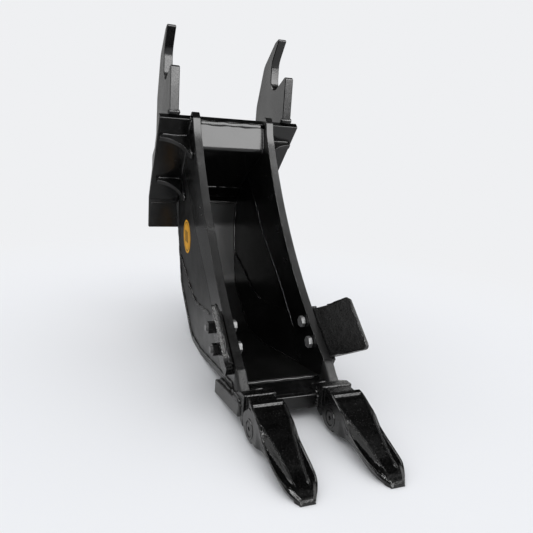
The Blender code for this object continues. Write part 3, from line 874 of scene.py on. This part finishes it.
def weld_body(bm, rng):
    """The seams of the shells, side plates, side bars and lip."""
    lay = layer(bm, rng)
    upper_in = [p for p in inset(SHELL, -SHELL_T) if p[1] > 0.15]
    heel_in = [p for p in inset(SHELL, -HEEL_T) if p[1] <= 0.165 and p[0] < 0.52]
    upper_out = [p for p in inset(SHELL, -SHELL_T + 0.002) if p[1] > 0.16]
    heel_out = [p for p in inset(SHELL, -HEEL_T + 0.002) if p[1] <= 0.16]
    for side, _ in SIDES:
        # Shell to side plates, inside and outside.
        lay(side_path(side, upper_in, SIDE_PLATE_T + 0.0015), 0.0048)
        lay(side_path(side, heel_in, LOW_PLATE_T + 0.0015), 0.0052)
        lay(side_path(side, upper_out, -0.0012), 0.0036)
        lay(side_path(side, heel_out, -0.0012), 0.0040)
        # The step between the thick side bar and the thinner plate.
        line = side_path(side, STEP, SIDE_BAR_T - 0.0012)
        lay(line, 0.0034, pitch=0.006, wander=0.0003)
        # The seam between the upper and lower side plates, outside and inside.
        lay(side_path(side, SEAM, -0.0004), 0.0054, pitch=0.0095, wander=0.0016)
        lay(side_path(side, SEAM[:-3], SIDE_PLATE_T + GAP), 0.0036)
        # The sides on the lip.
        foot = on_lip((-0.305, -0.272), GAP)
        lay(side_path(side, foot, -0.002), 0.0070, pitch=0.008)
        lay(side_path(side, on_lip((-0.268, -0.152), 0.0005), -0.005), 0.0055)
        y = -0.3075
        line = across(y, lip_top(y) + GAP, 0.124, 0.152, side)
        lay(line, 0.0075, pitch=0.008)
    # The shells on the lip, above and below.
    wide = half(SHELL_FRONT, 0.09) - LOW_PLATE_T - 0.006
    ramp(bm, wide, rng)
    y = SHELL_FRONT - GAP
    lay(across(y + 0.003, lip_top(y) + 0.0170, -wide, wide), 0.0036, pitch=0.007)
    lay(across(LIP_BACK, 0.0415, -0.14, 0.14), 0.0055)


# The runs beside each adapter on the lip: places along it, height over the lip,
# share of the adapter's width, radius
ADAPTER_SIDES = (
    ((-0.370, -0.345, -0.318), 0.003, 1, 0.0075),
    ((-0.366, -0.345, -0.322), 0.012, 0.98, 0.0055),
)
# The runs behind each adapter, one on the other: distance forward of its rear,
# height over the lip, share of the adapter's width, radius
ADAPTER_REAR = -0.3165
ADAPTER_BACKS = ((0, 0.003, 1, 0.0085), (0.003, 0.013, 0.9, 0.0060))


def weld_teeth(bm, rng):
    """The tooth adapters on the lip, with drops of spatter round them."""
    lay = layer(bm, rng)
    for side, _ in SIDES:
        x = side * TOOTH_X
        for dx in (-ADAPTER_HALF, ADAPTER_HALF):
            for places, over, share, radius in ADAPTER_SIDES:
                line = [(x + dx * share, *point) for point in on_lip(places, over)]
                lay(line, radius, pitch=0.008, wander=0.001)
            # The run on a tooth's inner side is the heavier one.
            radius = 0.0085 if dx * side < 0 else 0.0050
            front = [(x + dx, LIP_FRONT - GAP, z) for z in (0.036, 0.074)]
            lay(front, radius, pitch=0.009)
        for forward, over, share, radius in ADAPTER_BACKS:
            y, z = ADAPTER_REAR - forward, lip_top(ADAPTER_REAR) + over
            wide = ADAPTER_HALF * share
            lay(across(y, z, x - wide, x + wide), radius, pitch=0.009, wander=0.0012)
        spatter(bm, (x - 0.055, -0.318), (x + 0.048, -0.290), 34, rng)
        inner = x - side * 0.052
        spatter(bm, (inner - 0.006, -0.368), (inner + 0.006, -0.318), 16, rng)


def make_welds():
    """All the beads, in three pieces that share one run of random draws."""
    rng = random.Random(11)
    for name, weld in (
        ("welds_coupler", weld_coupler),
        ("welds_body", weld_body),
        ("welds_teeth", weld_teeth),
    ):
        bm = bmesh.new()
        weld(bm, rng)
        add_piece(name, bm, "weld")


# The tooth tips


def spline(table, y):
    """Smooth values between rows of (y, a, b, ...), with y falling."""
    for i in range(len(table) - 1):
        if y >= table[i + 1][0] or i == len(table) - 2:
            p0 = table[max(i - 1, 0)]
            p1, p2 = table[i], table[i + 1]
            p3 = table[min(i + 2, len(table) - 1)]
            t = (y - p1[0]) / (p2[0] - p1[0])
            t = max(0.0, min(1.0, t))
            out = []
            for a, b, c, d in zip(p0[1:], p1[1:], p2[1:], p3[1:]):
                m1, m2 = (c - a) * 0.5, (d - b) * 0.5
                out.append(
                    b * (2 * t**3 - 3 * t**2 + 1)
                    + m1 * (t**3 - 2 * t**2 + t)
                    + c * (3 * t**2 - 2 * t**3)
                    + m2 * (t**3 - t**2)
                )
            return out
    return list(table[-1][1:])


# y, half width, underside, top, scoop depth outside the ribs, rib place, slope width
TIP_ROWS = (
    (-0.4400, 0.0452, 0.0210, 0.1120, 0.0000, 0.960, 0.10),
    (-0.4600, 0.0470, 0.0170, 0.1070, 0.0000, 0.960, 0.10),
    (-0.4980, 0.0474, 0.0190, 0.0925, 0.0000, 0.950, 0.12),
    (-0.5200, 0.0478, 0.0210, 0.0840, 0.0070, 0.830, 0.30),
    (-0.5500, 0.0486, 0.0235, 0.0730, 0.0145, 0.680, 0.28),
    (-0.5850, 0.0490, 0.0215, 0.0605, 0.0150, 0.560, 0.22),
    (-0.6200, 0.0482, 0.0130, 0.0470, 0.0110, 0.480, 0.16),
    (-0.6500, 0.0455, 0.0070, 0.0355, 0.0060, 0.440, 0.14),
    (-0.6720, 0.0405, 0.0035, 0.0270, 0.0015, 0.460, 0.12),
    (-0.6900, 0.0325, 0.0012, 0.0205, 0.0000, 0.500, 0.12),
    (-0.7060, 0.0225, 0.0002, 0.0145, 0.0000, 0.500, 0.12),
    (-0.7100, 0.0200, 0.0001, 0.0125, 0.0000, 0.500, 0.12),
    (TIP_END, 0.0185, 0.0, 0.0050, 0.0000, 0.500, 0.12),
)


def smooth_step(a, b, x):
    """Rises smoothly from 0 at a to 1 at b."""
    t = max(0.0, min(1.0, (x - a) / (b - a)))
    return t * t * (3 - 2 * t)


# Heights on a tip, and the places along it where each starts and stops
PANEL_SUNK = 0.0058
PANEL_STARTS = (-0.4520, -0.4552)
PANEL_STOPS = (-0.640, -0.690)
WING_LIP = 0.0022
WING_LIP_AT = (0.90, 0.94)
WINGS_START = (-0.498, -0.512)
WINGS_STOP = (-0.668, -0.690)
SIDES_START = (-0.500, -0.530)
SIDES_STOP = (-0.690, -0.7)
BORDER_STARTS = (-0.655, -0.690)
RIB_SLOPE = 0.035  # how wide the slope from a rib down to the panel is
TIP_COLUMNS = 52
# Down each side of a tip: share of the height, and how far it stands out
TIP_SIDE = (
    (0.10, 0.004),
    (0.30, -0.045),
    (0.55, -0.115),
    (0.80, -0.165),
    (0.97, -0.20),
)


def fade(starts, stops, y):
    """Rises from 0 to 1 over starts, and falls back over stops."""
    return smooth_step(*starts, y) * (1 - smooth_step(*stops, y))


def tip_top(a, y, thin):
    """The height of a tip's top at a share of its half width."""
    _, _, high, scoop, rib, slope = spline(TIP_ROWS, y)
    sunk = PANEL_SUNK * fade(PANEL_STARTS, PANEL_STOPS, y)
    z = high - sunk * (1 - smooth_step(rib - thin - RIB_SLOPE, rib - thin, a))
    z -= scoop * smooth_step(rib, rib + slope, a)
    wing = fade(WINGS_START, WINGS_STOP, y)
    return z + WING_LIP * wing * smooth_step(*WING_LIP_AT, a)


def tip_ring(x, y):
    """One cross-section: sunk panel, two raised ribs, scooped wings and sides."""
    wide, low, high = spline(TIP_ROWS, y)[:3]
    thin = 0.075 - 0.02 * smooth_step(-0.52, -0.66, y)
    border = smooth_step(*BORDER_STARTS, y)
    ring = []
    for k in range(TIP_COLUMNS + 1):
        u = -1 + 2 * k / TIP_COLUMNS
        a = abs(u)
        z = tip_top(a, y, thin)
        z -= 0.0016 * smooth_step(0.965, 1.0, a)
        z -= 0.0055 * border * smooth_step(0.62, 0.98, a) * (high - low) / 0.02
        ring.append((x + u * wide, y, max(z, low + 0.002)))
    top_edge = ring[-1][2]
    tall = top_edge - low
    under = fade(SIDES_START, SIDES_STOP, y)
    sides = [(1 + out * under, top_edge - tall * share) for share, out in TIP_SIDE]
    for out, z in sides:
        ring.append((x + wide * out, y, z))
    inner = 0.93 - 0.17 * under
    for u in (1.0, 0.6, 0.2, -0.2, -0.6, -1.0):
        ring.append((x + u * wide * inner, y, low))
    for out, z in reversed(sides):
        ring.append((x - wide * out, y, z))
    return ring


EDGES_FROM = -0.456
EDGE_GAP = 0.0038
EDGE_POINTS = 58
OUTER_FROM = 10  # the points where the ribs' outer edges and the wings' start
WINGS_FROM = 14


def tip_edges(bm, x, rng):
    """Fine cast edges along each tip's ribs, sunk panel and wings."""
    for side in (-1, 1):
        inner, outer, wings = [], [], []
        for k in range(EDGE_POINTS):
            y = EDGES_FROM - EDGE_GAP * k
            row = spline(TIP_ROWS, y)
            wide, rib = row[0], row[4]
            for line, a in ((inner, rib - 0.055), (outer, rib), (wings, 0.955)):
                line.append((x + side * a * wide, y, tip_top(a, y, 0.065) - 0.0004))
        for line, radius in (
            (inner, 0.0011),
            (outer[OUTER_FROM:], 0.0012),
            (wings[WINGS_FROM:], 0.0011),
        ):
            bead(bm, line, radius, rng, pitch=0.02, wander=0.0002, sides=7)


def tip_stations():
    """Where the cross-sections are: close together at the rear wall and the end."""
    start = TIP_ROWS[0][0]
    rows = [start - 0.0030 * k for k in range(4)]
    rows += [-0.4516, -0.4524, -0.4532, -0.4540, -0.4548, -0.4556]
    rows += [-0.4590 - 0.0036 * k for k in range(69)]
    rows += [-0.7080, -0.7100, -0.7118, TIP_END]
    return sorted({y for y in rows if y >= TIP_END}, reverse=True)


def helper(name, rings):
    """A solid to join or cut with."""
    bm = bmesh.new()
    loft(bm, rings)
    bmesh.ops.recalc_face_normals(bm, faces=bm.faces)
    return new_object(name, bm, MATS["tip"])


def circle(x, centre, radius, count=40):
    """Points round a centre in the side view, at one place across."""
    return [
        (
            x,
            centre[0] + radius * math.cos(math.tau * k / count),
            centre[1] + radius * math.sin(math.tau * k / count),
        )
        for k in range(count)
    ]


def apply_booleans(obj, steps):
    """Joins and cuts an object with helpers, which are then removed."""
    for operation, other in steps:
        modifier = obj.modifiers.new(operation, "BOOLEAN")
        modifier.operation = operation
        modifier.solver = "EXACT"
        modifier.object = other
    graph = bpy.context.evaluated_depsgraph_get()
    made = bpy.data.meshes.new_from_object(obj.evaluated_get(graph))
    obj.modifiers.clear()
    obj.data = made
    for _, other in steps:
        bpy.data.objects.remove(other)


# The round rear cheek on each side of a tip, in its side view
LOBE = (
    (-0.4720, 0.0140),
    (-0.4520, 0.0128),
    (-0.4340, 0.0138),
    (-0.4180, 0.0215),
    (-0.4060, 0.0340),
    (-0.4010, 0.0500),
    (-0.4045, 0.0640),
    (-0.4150, 0.0760),
    (-0.4290, 0.0850),
    (-0.4400, 0.0960),
    (-0.4720, 0.0960),
)
LOBE_IN = 0.0375  # the cheeks' inner faces, clear of the adapter
# The lock's boss: how far in from the tip's face, and radius
BOSS = ((-0.0014, 0.0262), (0.0040, 0.0285))
# The lock's hole: radius and depth of its wide mouth and its narrow bore
LOCK_HOLES = ((0.0211, 0.0097), (0.0143, 0.0320))


def make_tips():
    """The tooth tips in full, in place of the plainer CAD ones."""
    for side, word in SIDES:
        x = side * TOOTH_X
        bm = bmesh.new()
        loft(bm, [tip_ring(x, y) for y in tip_stations()])
        tip = add_piece(f"tooth_tip_{word}", bm, "tip")
        steps = []
        for a, b in ((-TIP_HALF, -LOBE_IN), (LOBE_IN, TIP_HALF)):
            rings = [[(x + dx, y, z) for y, z in LOBE] for dx in (a, b)]
            steps.append(("UNION", helper("lobe", rings)))
        face = x - TIP_HALF
        boss = [circle(face + inward, LOCK_AT, radius) for inward, radius in BOSS]
        steps.append(("UNION", helper("boss", boss)))
        for radius, depth in LOCK_HOLES:
            hole = [circle(face + dx, LOCK_AT, radius) for dx in (-0.01, depth)]
            steps.append(("DIFFERENCE", helper("hole", hole)))
        apply_booleans(tip, steps)
        soften(tip)
        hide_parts(f"tip_{word}")
        edges = bmesh.new()
        tip_edges(edges, x, random.Random(17))
        add_piece(f"tooth_tip_edges_{word}", edges, "rim")


# Studio

BACKDROP = (0.863, 0.871, 0.888)
SUN_ON_FLOOR = 0.55
SUN_FROM = Vector((-0.02, -0.46, 0.88)).normalized()
SUN_SPREAD = math.radians(50)
FLOOR_HALF = 40
# The pale floor's middle, the clear distance round it, and how fast it turns into
# the backdrop after that
FLOOR_MIDDLE = (0.0, 0.15, 0.0)
FLOOR_CLEAR = 1.1
FLOOR_TURN = 0.9
BOX_AIM = Vector((0.0, 0.2, 0.6))
# Lights that only show in reflections: name, azimuth from -Y towards +X and
# elevation in degrees, distance, size, radiance
SOFTBOXES = (
    ("front_box", 38, 30.5, 8.0, (9.9, 6.3), 8.0),
    ("front_left_box", -15, 31, 8.0, (3.2, 6.0), 7.0),
    ("front_strip", 11, 6, 8.0, (1.5, 1.6), 6.0),
    ("front_top", 38, 61, 8.0, (9.0, 2.6), 0.8),
    ("left_key", -62, 54, 6.0, (0.9, 0.9), 45.0),
    ("left_top", -122, 52, 6.0, (3.4, 2.0), 5.0),
    ("back_left_card", -149, 9, 6.0, (3.0, 2.6), 0.95),
    ("back_card", -177, 9, 6.0, (1.9, 2.6), 0.45),
    ("right_card", 95, 14, 6.0, (4.0, 3.0), 1.2),
    ("left_card", -95, 16, 6.0, (4.0, 3.2), 1.2),
    ("back_right_card", 150, 12, 6.0, (3.0, 2.6), 1.0),
)


def plane(name, z, material):
    """A wide flat sheet at one height."""
    bm = bmesh.new()
    for x, y in ((-1, -1), (1, -1), (1, 1), (-1, 1)):
        bm.verts.new((x * FLOOR_HALF, y * FLOOR_HALF, z))
    bm.faces.new(bm.verts)
    obj = new_object(name, bm, material)
    return obj


def matt(n, colour):
    """Makes a material's shader flat, with no gloss at all."""
    n.shader.inputs["Roughness"].default_value = 1.0
    n.shader.inputs["Specular IOR Level"].default_value = 0.0
    if isinstance(colour, tuple):
        n.shader.inputs["Base Color"].default_value = (*colour, 1)
    else:
        n.link(colour, n.shader.inputs["Base Color"])


def pale_floor():
    """Even pale paper, which turns into the backdrop away from the object."""
    n = Nodes("pale_floor")
    tree = n.tree
    away = tree.nodes.new("ShaderNodeVectorMath")
    away.operation = "DISTANCE"
    n.link(n.coords, away.inputs[0])
    away.inputs[1].default_value = FLOOR_MIDDLE
    past = n.math("SUBTRACT", away.outputs["Value"], FLOOR_CLEAR)
    clamp = tree.nodes.new("ShaderNodeClamp")
    n.link(n.math("MULTIPLY", past, FLOOR_TURN), clamp.inputs[0])
    glow = tree.nodes.new("ShaderNodeEmission")
    glow.inputs["Color"].default_value = (*BACKDROP, 1)
    level = math.pi / (math.pi * BACKDROP[1] + 0.82 * SUN_ON_FLOOR)
    matt(n, tuple(c * level for c in BACKDROP))
    mix = tree.nodes.new("ShaderNodeMixShader")
    n.link(clamp.outputs[0], mix.inputs[0])
    n.link(n.shader.outputs[0], mix.inputs[1])
    n.link(glow.outputs[0], mix.inputs[2])
    n.link(mix.outputs[0], tree.nodes["Material Output"].inputs["Surface"])
    return n.material


def mirrored_floor():
    """The floor as the paint mirrors it, in painted shade: pale near the object, dim far
    behind.
    """
    n = Nodes("mirrored_floor")
    split = n.tree.nodes.new("ShaderNodeSeparateXYZ")
    n.link(n.coords, split.inputs[0])
    # Painted shade: the floor's colour darkens with distance behind the object, so the
    # reflections dim there
    back = n.math("MULTIPLY", n.math("SUBTRACT", split.outputs[1], 0.30), 1.1)
    matt(n, n.ramp(back, ((0.0, 0.80), (0.5, 0.30), (1.0, 0.17))))
    return n.material


def add_light(name, kind, out):
    """A light that shines from the direction out."""
    data = bpy.data.lights.new(name, kind)
    obj = bpy.data.objects.new(name, data)
    obj.rotation_mode = "QUATERNION"
    obj.rotation_quaternion = out.to_track_quat("Z", "Y")
    scene.collection.objects.link(obj)
    return obj


def softbox(name, azimuth, elevation, away, size, radiance):
    """A rectangular light aimed at the object, as a row of SOFTBOXES."""
    a, e = math.radians(azimuth), math.radians(elevation)
    out = Vector((math.sin(a) * math.cos(e), -math.cos(a) * math.cos(e), math.sin(e)))
    obj = add_light(name, "AREA", out)
    obj.data.shape = "RECTANGLE"
    obj.data.size, obj.data.size_y = size
    obj.data.energy = radiance * math.pi * size[0] * size[1]
    obj.location = BOX_AIM + out * away
    obj.visible_camera = False
    obj.visible_diffuse = False


def make_studio():
    """A pale floor and backdrop, a soft sun, and lights for the reflections."""
    level = cad_box[0][2]
    floor = plane("floor", level - 0.0003, pale_floor())
    floor.visible_glossy = False
    mirrored = plane("floor_in_reflections", level - 0.0001, mirrored_floor())
    mirrored.visible_camera = False
    mirrored.visible_diffuse = False
    mirrored.visible_shadow = False
    world = bpy.data.worlds.new("studio")
    world.use_nodes = True
    background = world.node_tree.nodes["Background"]
    background.inputs["Color"].default_value = (*BACKDROP, 1)
    background.inputs["Strength"].default_value = 1.0
    scene.world = world
    world.cycles_visibility.glossy = False
    sun = add_light("soft_sun", "SUN", SUN_FROM)
    sun.data.angle = SUN_SPREAD
    sun.data.energy = SUN_ON_FLOOR / SUN_FROM.z
    sun.visible_glossy = False
    for box in SOFTBOXES:
        softbox(*box)


make_camera()
make_materials()
dress_frame()
make_welds()
make_feet()
make_cutter_rims()
make_tips()
make_studio()
